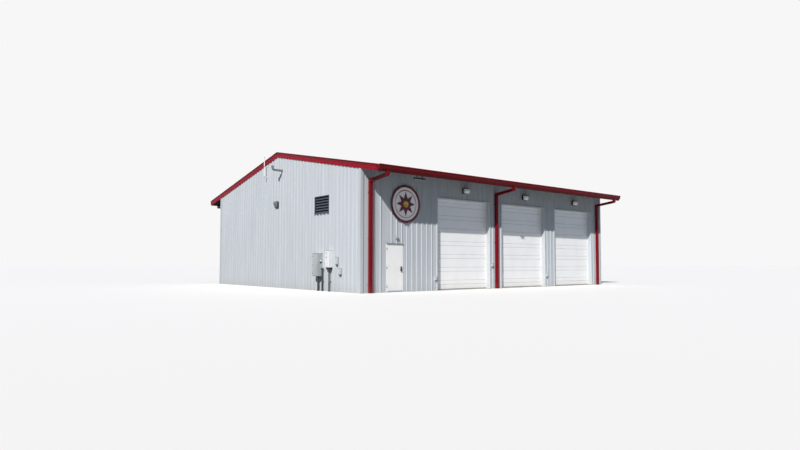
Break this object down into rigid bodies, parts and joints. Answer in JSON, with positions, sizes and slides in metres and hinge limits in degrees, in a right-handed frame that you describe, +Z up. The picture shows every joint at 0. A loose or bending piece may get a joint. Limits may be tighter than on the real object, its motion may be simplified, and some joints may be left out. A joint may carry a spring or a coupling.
{
  "type": "fire station building",
  "caption": "Gabled steel-framed station hall with ribbed sheet walls, overhead bay doors, a hinged entry door, deep eaves, gutters and downspouts.",
  "frame": {"origin": "centre of the footprint at ground level, on the flat underside of the floor slab", "axes": "+X along the front wall from the entry door end to the far end, +Y from the front wall to the rear wall, +Z up"},
  "size_m": [19.0489, 18.36, 7.215],
  "materials": {
    "concrete": "trowelled concrete",
    "frame_steel": "red oxide primer",
    "galvanised": "galvanised",
    "wall_sheet": "light grey coil coating",
    "roof_sheet": "aluminium-zinc coated",
    "soffit_sheet": "grey coil coating",
    "red_trim": "dark red coil coating",
    "white_trim": "white coating",
    "white_door": "white baked enamel",
    "dark_bronze": "dark bronze powder coat",
    "aluminium": "mill finish",
    "black_hardware": "black powder coat",
    "stainless": "brushed",
    "white_pole": "white paint",
    "box_paint": "grey enamel",
    "conduit": "dark grey plastic"
  },
  "bodies": {
    "building": {"bay_headers": "wall_sheet", "bay_jambs": "wall_sheet", "conduits": "conduit", "corner_trims": "wall_sheet", "door_tracks": "galvanised", "downspout_offsets": "red_trim", "downspouts": "red_trim", "electrical_boxes": "box_paint", "endwall_posts": "frame_steel", "entry_drip_cap": "dark_bronze", "entry_head": "white_trim", "entry_jambs": "white_trim", "entry_threshold": "aluminium", "floor_slab": "concrete", "flue": "galvanised", "frame_columns": "frame_steel", "frame_hinges": "stainless", "front_purlins": "galvanised", "front_rafters": "frame_steel", "front_rake_trims": "red_trim", "front_wall_headers": "wall_sheet", "front_wall_piers": "wall_sheet", "gable_wall_girts": "galvanised", "gutters": "red_trim", "left_wall": "wall_sheet", "long_wall_girts": "galvanised", "louvre": "dark_bronze", "mast": "white_pole", "overhead_door_left": "white_door", "overhead_door_middle": "white_door", "overhead_door_right": "white_door", "rear_purlins": "galvanised", "rear_rafters": "frame_steel", "rear_rake_trims": "red_trim", "rear_wall": "wall_sheet", "ridge_cap": "roof_sheet", "right_wall": "wall_sheet", "roof_front": "roof_sheet", "roof_rear": "roof_sheet", "sign_lamp": "dark_bronze", "soffits": "soffit_sheet", "wall_lamps": "dark_bronze"},
    "entry_door": {"entry_leaf": "white_door", "entry_lock": "black_hardware", "leaf_hinges": "stainless"}
  },
  "joints": [
    {"name": "entry_door_hinge", "type": "hinge", "parent": "building", "child": "entry_door", "pos_m": [-7.7355, -7.64, 1.05], "axis": [0, 0, -1], "range_deg": [0, 100]}
  ]
}
